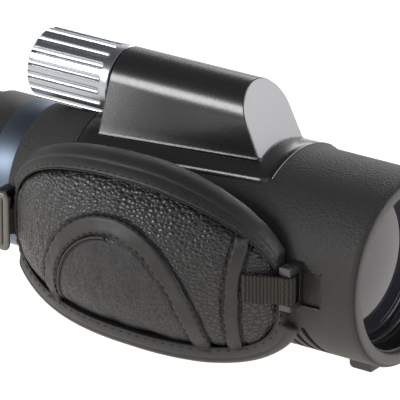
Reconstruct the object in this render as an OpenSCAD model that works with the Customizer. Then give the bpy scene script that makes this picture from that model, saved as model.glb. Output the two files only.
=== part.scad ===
// Compact spotting scope with a top focus tunnel and a padded hand strap.
// The origin is the centre of the tripod socket's mouth, on the flat underside
// of the foot. +X runs along the optical axis to the objective, +Z is up, and
// the hand pad hangs on the -Y side. Lengths are in millimetres.
// A "station" is a distance behind the objective's front rim.

/* [Barrel] */
// Outside radius of the rubber-armoured barrel
armour_r = 31; // [30.8:0.1:31.2]
// Thickness of the armour around the front barrel
armour_t = 2; // [1.8:0.1:2]
// Wall of the aluminium main tube
tube_wall = 2; // [1.6:0.1:2]
// Station where the barrel starts to taper
taper_start = 112; // [112:0.5:113]
// Station where the taper meets the trim ring
taper_end = 135.8; // [135.5:0.1:136]
// Outside radius at the end of the taper
taper_r = 24.9; // [24.7:0.1:25.2]
// Height of the optical axis above the foot
axis_z = 34.8; // [34.6:0.1:35.2]

/* [Objective] */
// Radius of the clear opening at the front
opening_r = 25.4; // [25.2:0.1:25.5]
// Radius of the objective lenses
lens_r = 25; // [24.9:0.1:25]
// Station of the front lens's edge
lens_station = 12; // [11.8:0.1:12.2]

/* [Focus drive] */
// Outside radius of the fluted focus knob
knob_r = 11.8; // [11.4:0.1:12]
// Length of the focus knob
knob_length = 27.5; // [26:0.5:28]
// Number of flutes around the knob
flute_count = 18; // [16:1:20]
// Radius of each flute's cutter
flute_r = 1.35; // [1.1:0.05:1.4]
// Height of the focus shaft above the optical axis
knob_z = 38.9; // [38.8:0.1:39.2]
// Half-width of the focus tunnel at its front
tunnel_half = 11.9; // [11.6:0.1:12]

/* [Eyepiece] */
// Outside radius of the anodised trim ring
trim_r = 24.5; // [24.4:0.1:24.8]
// Outside radius of the eyepiece housing
eyepiece_r = 23.7; // [23.4:0.1:23.9]
// Outside radius of the rubber eyecup
eyecup_r = 22.8; // [22.7:0.1:23]

/* [Tripod foot] */
// Length of the foot along the barrel
foot_length = 8; // [7.8:0.1:8.4]
// Width of the foot
foot_width = 10.8; // [10.4:0.1:11.4]
// Depth of the tripod socket
socket_depth = 6.3; // [6:0.1:6.4]

/* [Hand strap] */
// Half-length of the padded panel
pad_half_length = 50; // [49.5:0.1:50]
// Half-height of the padded panel
pad_half_height = 25.3; // [24.3:0.2:25.5]
// Width of the webbing
webbing_w = 9.3; // [9:0.1:9.4]
// Thickness of the webbing
webbing_t = 1.1; // [1:0.05:1.1]

/* [Hidden] */
$fn = 96;
lens_fn = 360;
running = 0.05;
past = 1;

// Barrel
front_x = 14.2;
tube_r = armour_r - armour_t;
bore_r = tube_r - tube_wall;
lip_depth = 1.6;
lip_out_r = 2.6;
lip_in_r = 1.6;

// Focus drive stations and radii
tunnel_rear = 108.5;
knob_gap = 0.5;
well_clearance = 0.5;
well_wall = 1.6;
screw_stations = [60.5, 104];
screw_hole_r = 1.2;
shaft_r = 3;
screw_r = 2.5;
nut_station = 78;
nut_length = 8;
nut_half = 6.8;
slot_half = 3.2;
arm_half = 3;
cavity_front = 62;
cavity_rear = 99.5;
cell_r = 23.5;
rod_r = 1.2;
rod_y = 24.6;
cage_front = 90;
cage_rear = 113;
cage_top = 24.8;
// Slanted front face: its station at the foot, its lean and the foot's height
face_foot = 48.7;
face_lean = 0.465;
cap_t = 1.2;
plate_foot_z = 30.7;
base_r = 31.8;
base_front = 40.5;
saddle_rear_half = 21.5;
saddle_knee = 66;
saddle_knee_half = 18.5;
saddle_corner = 4;
saddle_front_half = 12.9;

// Eyepiece stations and radii
trim_end = 144.7;
neck_r = 20.5;
neck_bore = 18.5;
neck_end = 152;
housing_end = 158.2;
barrel_r = 17;
barrel_bore = 15.6;
ring_end = 168;
cup_end = 177.5;
sleeve_r = 19.6;

// Radii of the threaded insert and of its socket
insert_r = 3.6;
socket_r = 2.6;

// Strap hardware: arms' heights about the webbing's middle, bars and their places
lug_arms = [-6.8, -4.8, 4.8, 7.4];
lug_length = 4;
front_mid_z = 1.4;
rear_mid_z = -1.75;
front_lug_station = 19.4;
front_bar_y = 36;
front_bar_r = 1.4;
rear_lug_station = 132.3;
rear_bar_y = 33;
rear_bar_r = 0.8;
front_strap_angle = 22.5;
rear_strap_angle = 6;
pocket_front = 12.7;
pocket_zs = [-5.3, 6.4];
pocket_depth = 0.9;
slider_station = 129.5;
slider_y = 33.5;
slider_half = 2;
slider_outer = [3.1, -11.8, 8.2];
slider_inner = [2.3, -6.9, 3.4];

// Pad: a crowned panel swept round an axis parallel to the barrel
pad_x = -74.4;
pad_z = 3;
crown_y = -9;
crown_z = 1;
crown_r = 45;
bow_r = 76.3;
face_t = 1;
pad_end_t = 3.6;
pad_plump = 3;
binding_grow = [1, 2.2, 4.6, 5.2];
binding_lap = 0.4;
// Downward slope of the panel's lower edge toward its front
pad_droop = 0.07;
arch_x = -76.8;
arch_z = -21;
arch_half_span = 31;
arch_rise = 38.3;
arch_band = 6.15;
trim_t = 0.6;
trim_inset = [-1, -1, -1, -1];
// Side corners of the near-upright front trim, from its lower rear one
front_trim_corners = [[-40.4, -30], [-34.9, 30], [-30.9, 30], [-36.4, -30]];

// ---------- shared helpers ----------

// Moves the origin to the centre of the objective's front rim.
module at_rim() translate([front_x, 0, axis_z]) children();

// Points the children's +Z axis backward along the optical axis.
module backward() rotate([0, -90, 0]) children();

// A solid of revolution about the optical axis from [radius, station] points.
module turned(profile) at_rim() backward() rotate_extrude() polygon(profile);

// A plain ring about the optical axis.
module ring(outer, inner, from, to)
    at_rim() translate([-from, 0, 0]) backward() difference() {
        cylinder(r = outer, h = to - from);
        translate([0, 0, -past]) cylinder(r = inner, h = to - from + 2 * past);
    }

// A rod along the optical axis at a side offset y and a height z above it.
module rod(radius, from, to, y = 0, z = 0)
    at_rim() translate([-from, y, z]) backward() cylinder(r = radius, h = to - from);

// A box given by station, y and height-above-axis ranges.
module block(stations, ys, zs)
    at_rim() translate([-stations[1], ys[0], zs[0]])
        cube([stations[1] - stations[0], ys[1] - ys[0], zs[1] - zs[0]]);

// ---------- barrel castings and armour ----------

module drive_slot()
    block([nut_station - nut_length, nut_station + nut_length],
        [-slot_half, slot_half], [20, 36]);

module screw_holes() for (s = screw_stations)
    at_rim() translate([-s, 0, 20]) cylinder(r = screw_hole_r, h = 13.8);

// The trough that the knob sits in, widened by grow and lengthened ahead by the same.
module knob_well(grow = 0) rod(knob_r + well_clearance + grow,
    tunnel_rear - grow, taper_end + 3, 0, knob_z);

module foot_block(grow = 0)
    translate([-foot_length / 2 - grow, -foot_width / 2 - grow, 0])
        cube([foot_length + 2 * grow, foot_width + 2 * grow, 12]);

module main_tube() color("dimgray") difference() {
    ring(tube_r, bore_r, 4, taper_start);
    drive_slot();
    screw_holes();
    knob_well(well_wall);
    translate([0, 0, -past]) cylinder(r = insert_r, h = 12);
}

// One side of the saddle's plan, from its rear to its round-cornered front.
function saddle_side(side) = concat(
    [[-taper_start, side * saddle_rear_half], [-saddle_knee, side * saddle_knee_half]],
    [for (a = [90 : -10 : 0]) [-base_front + saddle_corner * (cos(a) - 1),
        side * (saddle_front_half + saddle_corner * sin(a))]]);

// Plan outline of the saddle, narrower at its front, as a tall prism.
module saddle_plan() {
    right = saddle_side(-1);
    at_rim() linear_extrude(60) polygon(concat(saddle_side(1),
        [for (i = [len(right) - 1 : -1 : 0]) right[i]]));
}

// Four slanted grip slots under the belly on each side.
module grip_slots() at_rim() for (side = [-1, 1], i = [0 : 3])
    rotate([side * 137, 0, 0]) translate([-19.8 - 4.2 * i, 0, 0])
        rotate([0, 0, side * 9]) linear_extrude(40) union() {
            square([1.9, 19], center = true);
            for (end = [-9.5, 9.5]) translate([0, end]) circle(r = 0.95);
        }

// A raised lip across the crown, just ahead of the saddle.
module saddle_lip() intersection() {
    turned([[tube_r, base_front - 3.4], [armour_r, base_front - 3.4],
        [armour_r + 0.7, base_front - 1.6], [armour_r + 0.8, base_front - 0.4],
        [armour_r + 0.4, base_front], [tube_r, base_front]]);
    at_rim() translate([-base_front - past, -16.5, 0]) cube([10, 33, 40]);
}

// Quarter arc of the lip's front corner, from angle "from" down by 90 degrees.
function round_corner(centre_r, corner_r, from) =
    [for (a = [0 : 10 : 90]) [centre_r + corner_r * cos(from - a),
        corner_r * (1 - sin(from - a))]];

module front_armour() color("#3c3b3b") difference() {
    union() {
        ring(armour_r, tube_r, 4, taper_start);
        saddle_lip();
        turned(concat([[opening_r + 0.6, 4]],
            round_corner(opening_r + 0.6 + lip_in_r, lip_in_r, 180),
            round_corner(armour_r - lip_out_r, lip_out_r, 90),
            [[armour_r, 4]]));
    }
    saddle_plan();
    intersection() {
        grip_slots();
        ring(armour_r + past, armour_r - 1.1, 5, 60);
    }
    foot_block();
    strap_pocket();
    lug_seat(front_lug_station, front_mid_z);
}

// Rear casting: a cone and the eyepiece's neck, with a floor under the knob's trough.
module rear_housing() color("dimgray") difference() {
    union() {
        turned([[tube_r, taper_start], [taper_r - 1.5, taper_end],
            [neck_r, taper_end], [neck_r, neck_end], [neck_bore, neck_end],
            [neck_bore, taper_end - 3], [bore_r, taper_start + 5], [bore_r, taper_start]]);
        intersection() {
            knob_well(well_wall);
            turned([[0, 100], [tube_r, 100], [tube_r, taper_start],
                [taper_r - 1.5, taper_end], [0, taper_end]]);
        }
    }
    knob_well();
}

module rear_armour() color("#3a3939") difference() {
    turned([[tube_r, taper_start], [armour_r - 0.2, taper_start],
        [armour_r - 0.5, taper_start + 2], [taper_r + 0.3, taper_end - 1],
        [taper_r, taper_end], [taper_r - 1.5, taper_end]]);
    lug_seat(rear_lug_station, rear_mid_z);
    knob_well();
}

module trim_ring() color("#7c8799")
    turned([[neck_r, taper_end], [trim_r - 0.3, taper_end], [trim_r, taper_end + 0.3],
        [trim_r, trim_end - 0.3], [trim_r - 0.3, trim_end], [neck_r, trim_end]]);

// ---------- focus tunnel ----------

// Section of the tunnel: an arch on flanks that reach down to a lower edge.
module tunnel_section(edge_half, edge_z) hull() {
    translate([0, knob_z]) circle(r = tunnel_half - 0.1, $fn = 64);
    polygon([[-edge_half, edge_z], [edge_half, edge_z], [edge_half, edge_z + 0.8],
        [-edge_half, edge_z + 0.8]]);
}

// A thin slice of the tunnel standing across the axis at a station.
module tunnel_slice(station, edge_half, edge_z)
    at_rim() translate([-station, 0, 0]) rotate([90, 0, 90])
        linear_extrude(0.01) tunnel_section(edge_half, edge_z);

// The tunnel's whole outer shape, from its rear face to ahead of the slanted face.
module tunnel_body() hull() {
    tunnel_slice(tunnel_rear, 15.4, 26.8);
    tunnel_slice(44, tunnel_half, 30.3);
}

// Everything ahead of the slanted front face, moved back by a depth.
module ahead_of_face(depth)
    at_rim() rotate([90, 0, 0]) linear_extrude(60, center = true)
        polygon([[-face_foot - depth + face_lean * plate_foot_z, 0],
            [-face_foot - depth - face_lean * (70 - plate_foot_z), 70],
            [40, 70], [40, 0]]);

module focus_tunnel() color("#1d1d1f") difference() {
    tunnel_body();
    ahead_of_face(cap_t);
    rod(base_r, 30, 120);
    block([cavity_front, cavity_rear], [-7, 7], [33, 45.5]);
    drive_slot();
    rod(5, cavity_rear - past, tunnel_rear + past, 0, knob_z);
    rod(1.55, 57, cavity_front + past, 0, knob_z);
    screw_holes();
}

module tunnel_cap() color("#c8c8ce") difference() {
    intersection() {
        tunnel_body();
        ahead_of_face(cap_t);
        at_rim() translate([-70, -20, 0]) cube([40, 40, 60]);
    }
    ahead_of_face(0);
    rod(base_r + 0.6, 30, 70);
}

module saddle_base() color("#202022") difference() {
    intersection() {
        saddle_plan();
        ring(base_r, tube_r, base_front, taper_start);
    }
    drive_slot();
    screw_holes();
    knob_well();
}

module tunnel_screws() color("silver") for (s = screw_stations)
    at_rim() translate([-s, 0, bore_r - 1.8]) union() {
        cylinder(r = 2.2, h = 1.4);
        cylinder(r = screw_hole_r, h = 8.4);
    }

// ---------- tripod foot ----------

module tripod_foot() color("#2b2a2a") difference() {
    intersection() {
        foot_block();
        rotate([90, 0, 0]) linear_extrude(foot_width + 2, center = true) union() {
            translate([-foot_length / 2 + 1.5, 0]) square([foot_length - 1.5, 12]);
            translate([-foot_length / 2, 1.5]) square([foot_length, 10.5]);
            translate([-foot_length / 2 + 1.5, 1.5]) circle(r = 1.5);
        }
    }
    rod(tube_r, -5, 40);
    translate([0, 0, -past]) cylinder(r = insert_r, h = 14);
}

module tripod_insert() color("goldenrod") difference() {
    cylinder(r = insert_r, h = 7.4);
    translate([0, 0, -past]) cylinder(r = socket_r, h = socket_depth + past);
}

// ---------- objective ----------

// Depth of a spherical face of the given radius at a lens's edge.
function sag(edge_r, face_r) = face_r - sqrt(face_r * face_r - edge_r * edge_r);

// Half-section of a lens whose front and back faces both bulge.
module convex_section(edge_r, front, edge_t, front_face, back_face) {
    front_vertex = front - sag(edge_r, front_face);
    back_vertex = front + edge_t + sag(edge_r, back_face);
    intersection() {
        translate([0, front_vertex]) square([edge_r, back_vertex - front_vertex]);
        translate([0, front_vertex + front_face]) circle(r = front_face, $fn = lens_fn);
        translate([0, back_vertex - back_face]) circle(r = back_face, $fn = lens_fn);
    }
}

module biconvex(edge_r, front, edge_t, front_face, back_face)
    at_rim() backward() rotate_extrude()
        convex_section(edge_r, front, edge_t, front_face, back_face);

module objective_hood() color("#8e8e92")
    turned([[opening_r, 2.2], [opening_r + 0.6, lip_depth], [opening_r + 0.6, 4],
        [bore_r, 4], [bore_r, lens_station - 2.5], [opening_r - 0.4, lens_station - 2.5],
        [opening_r - 0.4, lens_station - 3.4], [opening_r, lens_station - 3.8]]);

module objective_ring() color("#161616")
    turned([[23.6, lens_station - 1.5], [24.4, lens_station - 2.5],
        [bore_r, lens_station - 2.5], [bore_r, lens_station],
        [lens_r + 0.05, lens_station], [23.6, lens_station - 0.47]]);

module objective_seal() color("black")
    at_rim() translate([-(lens_station + 0.6), 0, 0]) backward()
        rotate_extrude() translate([lens_r + 0.6, 0]) circle(r = 0.55);

module objective_front_lens() color("#8a86a8")
    biconvex(lens_r, lens_station, 2, 90, 80);

module objective_spacer() color("black")
    turned([[lens_r - 1, lens_station + 2.36], [lens_r, lens_station + 2.03],
        [lens_r, lens_station + 2.6], [lens_r - 1, lens_station + 2.9]]);

module objective_rear_lens() color("#8a90a8")
    at_rim() backward() rotate_extrude() difference() {
        translate([0, lens_station + 2.6]) square([lens_r, 7]);
        translate([0, lens_station + 2.6 + sag(lens_r, 82) - 82])
            circle(r = 82, $fn = lens_fn);
    }

module objective_cell() color("#1c1c1c") difference() {
    turned([[lens_r + 1.3, lens_station], [bore_r, lens_station],
        [bore_r, lens_station + 13], [23.2, lens_station + 13],
        [23.2, lens_station + 9.6], [lens_r, lens_station + 9.6],
        [lens_r, lens_station + 1.3], [lens_r + 1.3, lens_station + 1.3]]);
    for (side = [-1, 1]) rod(rod_r, lens_station + 10.5, 30, side * rod_y);
}

// ---------- focusing carriage ----------

module guide_rods() color("silver") for (side = [-1, 1])
    rod(rod_r, lens_station + 10.5, cage_front + 3, side * rod_y);

module focus_lens_cell() color("#1c1c1c") difference() {
    union() {
        ring(cell_r, 17.5, nut_station - 5, nut_station + 5);
        for (side = [-1, 1]) rod(2.1, nut_station - 5, nut_station + 5, side * rod_y);
    }
    rod(17.5, nut_station - 6, nut_station + 6);
    for (side = [-1, 1])
        rod(rod_r + running, nut_station - 6, nut_station + 6, side * rod_y);
}

module focus_lens() color("#8a90a8")
    at_rim() backward() rotate_extrude() difference() {
        translate([0, nut_station - 3]) square([17.5, 6]);
        for (side = [-1, 1]) translate([0, nut_station + side * 61.6])
            circle(r = 60, $fn = lens_fn);
    }

module focus_nut() color("goldenrod") difference() {
    block([nut_station - nut_length / 2, nut_station + nut_length / 2],
        [-nut_half, nut_half], [33.4, 44.8]);
    rod(screw_r + running, nut_station - 6, nut_station + 6, 0, knob_z);
}

module drive_arm() color("silver") difference() {
    block([nut_station - 3, nut_station + 3], [-arm_half, arm_half], [20, 33.4]);
    rod(cell_r, nut_station - 6, nut_station + 6);
}

module focus_screw() color("silver") {
    rod(screw_r, cavity_front + 0.3, cavity_rear + 0.5, 0, knob_z);
    rod(1.5, 57.3, cavity_front + 1, 0, knob_z);
    rod(shaft_r, cavity_rear + 0.4, tunnel_rear + 20, 0, knob_z);
}

module knob_bushing() color("goldenrod") difference() {
    rod(5, cavity_rear, tunnel_rear, 0, knob_z);
    rod(shaft_r + running, cavity_rear - past, tunnel_rear + past, 0, knob_z);
    rod(4.2, 104.4, 105.6, 0, knob_z);
}

module shaft_seal() color("black")
    at_rim() translate([-105, 0, knob_z]) backward()
        rotate_extrude() translate([shaft_r + 0.6, 0]) circle(r = 0.5);

// Knob: a drum with round-ended flutes that run out at its rear face.
module focus_knob() color("#b9bec6") {
    front = tunnel_rear + knob_gap;
    rear = front + knob_length;
    at_rim() translate([0, 0, knob_z]) difference() {
        backward() rotate_extrude() polygon([[0, front], [knob_r - 0.3, front],
            [knob_r, front + 0.3], [knob_r, rear - 0.9], [knob_r - 0.9, rear],
            [8.4, rear], [7.9, rear - 1], [0, rear - 1]]);
        translate([-front + past, 0, 0]) backward() cylinder(r = shaft_r, h = 21);
        translate([-rear - past, 0, 0]) rotate([0, 90, 0]) cylinder(r = 1.2, h = 10);
        translate([-rear - past, 0, 0]) rotate([0, 90, 0]) cylinder(r = 3, h = 4);
        for (i = [0 : flute_count - 1]) rotate([360 * (i + 0.5) / flute_count, 0, 0])
            translate([-front - 3.6, 0, knob_r + 0.35]) {
                sphere(r = flute_r, $fn = 24);
                backward() cylinder(r = flute_r, h = knob_length, $fn = 24);
            }
    }
}

module knob_cap_screw() color("silver") {
    rear = tunnel_rear + knob_gap + knob_length;
    difference() {
        rod(2.9, rear - 2.9, rear - 1.1, 0, knob_z);
        at_rim() translate([-rear, 0, knob_z]) cube([2.4, 0.8, 7], center = true);
    }
    rod(1.15, rear - 7.9, rear - 2.9, 0, knob_z);
}

// ---------- prisms ----------

module prism_cage() color("#2c2c2c") difference() {
    rod(bore_r, cage_front, cage_rear);
    block([cage_front - past, cage_rear + past], [-20, 20], [cage_top, 30]);
    rod(10, cage_front - past, cage_front + 3);
    block([cage_front + 2, cage_rear + past], [-11, 11], [-18, 18]);
    for (side = [-1, 1]) rod(rod_r, cage_front - past, cage_front + 3, side * rod_y);
    for (side = [-1, 1]) rod(1, cage_rear - 6, cage_rear + past, side * 16);
}

// Compensating prism: a block with two slanted faces.
module compensating_prism() color("#9fb3c0")
    at_rim() rotate([90, 0, 0]) linear_extrude(21, center = true)
        polygon([[-93, -11], [-93, 11], [-98, 16], [-101.6, 16], [-101.6, 1]]);

// Roof prism: a wide block whose long face is a roof.
module roof_prism() color("#9fb3c0")
    at_rim() intersection() {
        rotate([90, 0, 0]) linear_extrude(21, center = true)
            polygon([[-102, 0], [-102, 15], [-112, 11], [-112, -11], [-98.5, -16]]);
        rotate([0, -90, 0]) linear_extrude(130)
            polygon([[-12, 0], [-7, -10.5], [15, -10.5], [15, 10.5], [-7, 10.5]]);
    }

module prism_clamps() color("silver") difference() {
    for (side = [-1, 1]) block([cage_rear, cage_rear + 1],
        side > 0 ? [8, 19] : [-19, -8], [-6, 6]);
    for (side = [-1, 1]) rod(1, cage_rear - past, cage_rear + 2, side * 16);
}

module prism_screws() color("silver") for (side = [-1, 1]) {
    rod(1, cage_rear - 6, cage_rear + 1, side * 16);
    rod(1.9, cage_rear + 1, cage_rear + 2, side * 16);
}

// ---------- eyepiece ----------

module eyepiece_housing() color("#29292b")
    turned([[neck_r, trim_end], [eyepiece_r - 0.4, trim_end],
        [eyepiece_r, trim_end + 0.4], [eyepiece_r, housing_end - 0.6],
        [eyepiece_r - 0.6, housing_end], [19.5, housing_end], [19.5, neck_end],
        [neck_r, neck_end]]);

module eyepiece_barrel() color("#1c1c1c")
    turned([[barrel_bore, 120], [barrel_r, 120], [barrel_r, 138], [neck_bore, 138],
        [neck_bore, 150], [barrel_r, 150], [barrel_r, 172], [barrel_bore, 172]]);

module field_stop() color("black") ring(barrel_bore, 9, 122, 123);
module field_lens() color("#8a90a8") biconvex(barrel_bore, 128, 2, 40, 60);
module eyepiece_spacer() color("black") ring(barrel_bore, 14.4, 134, 150);
module eye_lens() color("#8a86a8") biconvex(barrel_bore, 158, 2, 40, 30);
module eyepiece_ring() color("#161616")
    turned([[13.4, 168], [barrel_bore, 166], [barrel_bore, 169.5], [13.4, 169.5]]);

module eyecup_cam_ring() color("#2a2a2c")
    turned([[barrel_r + running, neck_end + 0.8], [19.44, neck_end + 0.8],
        [19.44, housing_end + 0.1], [eyecup_r - 0.8, housing_end + 0.1],
        [eyecup_r - 0.4, housing_end + 0.5], [eyecup_r - 0.4, ring_end - 0.4],
        [eyecup_r - 0.8, ring_end], [sleeve_r + running, ring_end],
        [sleeve_r + running, housing_end + 1.2], [barrel_r + running, housing_end + 1.2]]);

module eyecup_sleeve() color("#1c1c1c")
    ring(sleeve_r, barrel_r + running, housing_end + 1.3, cup_end - 3);

// Rubber cup: covers the sleeve's end and rolls inward around the eye lens.
module eyecup_rubber() color("#232323")
    turned([[sleeve_r, ring_end + 0.2], [eyecup_r, ring_end + 0.2],
        [eyecup_r, cup_end - 2], [eyecup_r - 0.6, cup_end - 0.6],
        [eyecup_r - 1.8, cup_end], [barrel_r + 0.6, cup_end], [15.9, cup_end - 1],
        [15.9, cup_end - 3], [sleeve_r, cup_end - 3]]);

// ---------- strap hardware ----------

// Cuts the armour away under a strap lug that stands on the casting.
module lug_seat(station, mid_z) block([station, station + lug_length], [-60, -20],
    [mid_z + lug_arms[0], mid_z + lug_arms[3]]);

// Shallow pocket in the armour ahead of the front lug.
module strap_pocket() intersection() {
    block([pocket_front, front_lug_station], [-40, -20], pocket_zs);
    ring(armour_r + past, armour_r - pocket_depth, 5, 40);
}

// A bracket of two arms on a common foot that stands on the casting.
module strap_lug(station, mid_z, bar_y, bar_radius, seat_r) difference() {
    translate([0, 0, mid_z]) union() {
        block([station, station + lug_length], [-seat_r - 3, -20],
            [lug_arms[0], lug_arms[3]]);
        for (i = [0, 2])
            block([station, station + lug_length], [-bar_y + 1.5, -20],
                [lug_arms[i], lug_arms[i + 1]]);
    }
    strap_bar(station, mid_z, bar_y, bar_radius);
}

// The bar the webbing folds round, with a square head beyond each edge.
module strap_bar(station, mid_z, bar_y, bar_radius) translate([0, 0, mid_z]) {
    at_rim() translate([-station - lug_length / 2, -bar_y, lug_arms[0]])
        cylinder(r = bar_radius, h = lug_arms[3] - lug_arms[0]);
    for (i = [0, 2])
        block([station, station + lug_length], [-bar_y - 1.5, -bar_y + 1.5],
            [lug_arms[i], lug_arms[i + 1]]);
}

module front_strap_lug() color("#232323") difference() {
    strap_lug(front_lug_station, front_mid_z, front_bar_y, front_bar_r, tube_r);
    rod(tube_r, 5, 40);
}
module front_strap_bar() color("silver")
    strap_bar(front_lug_station, front_mid_z, front_bar_y, front_bar_r);

module rear_strap_lug() color("#232323") difference() {
    strap_lug(rear_lug_station, rear_mid_z, rear_bar_y, rear_bar_r, 25);
    turned([[0, taper_start], [tube_r, taper_start], [taper_r - 1.5, taper_end],
        [trim_r + 0.1, taper_end], [trim_r + 0.1, trim_end], [0, trim_end]]);
}
module rear_strap_bar() color("silver")
    strap_bar(rear_lug_station, rear_mid_z, rear_bar_y, rear_bar_r);

// Webbing folded round a bar; the strands leave the fold along local -X.
// The outer strand is long, the inner strand a short tail.
module webbing_plan(nose, outer_run, tail) difference() {
    union() {
        circle(r = nose + webbing_t);
        translate([-outer_run, -nose - webbing_t]) square([outer_run, nose + webbing_t]);
        translate([-tail, 0]) square([tail, nose + webbing_t]);
    }
    circle(r = nose);
    translate([-outer_run - past, -nose]) square([outer_run + past, 2 * nose]);
}

module webbing(station, mid_z, bar_y, bar_radius, angle, flip, outer_run, tail)
    at_rim() translate([-station - lug_length / 2, -bar_y, mid_z - webbing_w / 2])
        linear_extrude(webbing_w) mirror([flip, 0]) rotate(angle)
            webbing_plan(bar_radius + 0.1, outer_run, tail);

module front_webbing() color("#46423f")
    webbing(front_lug_station, front_mid_z, front_bar_y, front_bar_r,
        front_strap_angle, 0, 13.2, 1.2);
module rear_webbing() color("#46423f")
    webbing(rear_lug_station, rear_mid_z, rear_bar_y, rear_bar_r,
        rear_strap_angle, 1, 6.6, 6.1);

// Slider: a flat frame round both strands of the rear webbing.
// size is the box's half-thickness, bottom and top.
module slider_box(half_x, size)
    at_rim() translate([-slider_station, -slider_y, 0]) rotate(-rear_strap_angle)
        translate([-half_x, -size[0], size[1]])
            cube([2 * half_x, 2 * size[0], size[2] - size[1]]);

module strap_slider() color("#9a958d") difference() {
    slider_box(slider_half, slider_outer);
    slider_box(slider_half + past, slider_inner);
}

// ---------- padded hand strap ----------

// Crown radius of the pad's face at a lengthwise offset from its middle.
function crown(dx) = crown_r - bow_r + sqrt(bow_r * bow_r - dx * dx);

// Pad thickness, plump in the middle and thin at the ends.
function thickness(dx) = pad_end_t + pad_plump * (1 - pow(dx / 52, 2));

// A swept layer of the pad between two depths below its face.
module pad_layer(outer_depth, inner_depth, thick_outer = 0, thick_inner = 0) {
    steps = [-52 : 4 : 52];
    outer = [for (dx = steps) [crown(dx) - outer_depth - thick_outer * thickness(dx), -dx]];
    inner = [for (dx = steps) [crown(dx) - inner_depth - thick_inner * thickness(dx), -dx]];
    at_rim() translate([pad_x, crown_y, crown_z]) backward() rotate_extrude()
        polygon(concat(outer, [for (i = [len(inner) - 1 : -1 : 0]) inner[i]]));
}

// Side outline of the panel: flat-shouldered at its top front, with square lower corners.
// grow pushes it out at its front, rear, top and bottom.
function outline_point(a, grow) = let (
    front = cos(a) > 0,
    top = sin(a) > 0,
    n = front ? (top ? 1.65 : 2.9) : (top ? 2.2 : 4),
    dx = (pad_half_length + grow[front ? 0 : 1]) * pow(abs(cos(a)), 2 / n) * sign(cos(a)),
    rise = pow(abs(sin(a)), 2 / n) * sign(sin(a)),
    half_z = pad_half_height + grow[top ? 2 : 3] + (top ? 0 : pad_droop * dx)
) [pad_x + dx, pad_z + half_z * rise];

module pad_outline(grow = [0, 0, 0, 0]) at_rim() rotate([90, 0, 0]) linear_extrude(60)
    polygon([for (a = [0 : 7.5 : 359]) outline_point(a, grow)]);

module pad_face() color("#222224") intersection() {
    pad_layer(0, face_t);
    pad_outline();
}

module pad_core() color("#3a3a3a") intersection() {
    pad_layer(face_t, -face_t, 0, 1);
    pad_outline();
}

module pad_lining() color("#2a2a2a") intersection() {
    pad_layer(-face_t, 0, 1, 1);
    pad_outline();
}

module pad_binding() color("#262626") difference() {
    intersection() {
        pad_layer(binding_lap, -binding_lap / 2, 0, 1);
        pad_outline(binding_grow);
    }
    pad_outline();
    rod(armour_r + 0.2, 0, taper_start);
}

// Side area under an elliptical arch that stands on the panel's lower edge.
module arch_area(half_span, rise)
    polygon([for (a = [-6 : 4 : 186])
        [arch_x + half_span * cos(a), arch_z + rise * sin(a)]]);

module arch_trim() color("#262626") intersection() {
    pad_layer(-trim_t, 0);
    at_rim() rotate([90, 0, 0]) linear_extrude(60) difference() {
        arch_area(arch_half_span, arch_rise);
        arch_area(arch_half_span - arch_band, arch_rise - arch_band);
    }
    pad_outline(trim_inset);
}

module front_trim() color("#262626") intersection() {
    pad_layer(-trim_t, 0);
    at_rim() rotate([90, 0, 0]) linear_extrude(60)
        polygon(front_trim_corners);
    pad_outline(trim_inset);
}

main_tube();
front_armour();
rear_housing();
rear_armour();
trim_ring();
saddle_base();
focus_tunnel();
tunnel_cap();
tunnel_screws();
tripod_foot();
tripod_insert();
objective_hood();
objective_ring();
objective_seal();
objective_front_lens();
objective_spacer();
objective_rear_lens();
objective_cell();
guide_rods();
prism_cage();
compensating_prism();
roof_prism();
prism_clamps();
prism_screws();
eyepiece_housing();
eyepiece_barrel();
field_stop();
field_lens();
eyepiece_spacer();
eye_lens();
eyepiece_ring();
knob_bushing();
shaft_seal();
front_strap_lug();
front_strap_bar();
rear_strap_lug();
rear_strap_bar();
front_webbing();
rear_webbing();
focus_knob();
focus_screw();
knob_cap_screw();
focus_nut();
drive_arm();
focus_lens_cell();
focus_lens();
eyecup_cam_ring();
eyecup_sleeve();
eyecup_rubber();
pad_face();
pad_core();
pad_lining();
pad_binding();
arch_trim();
front_trim();
strap_slider();
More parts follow.
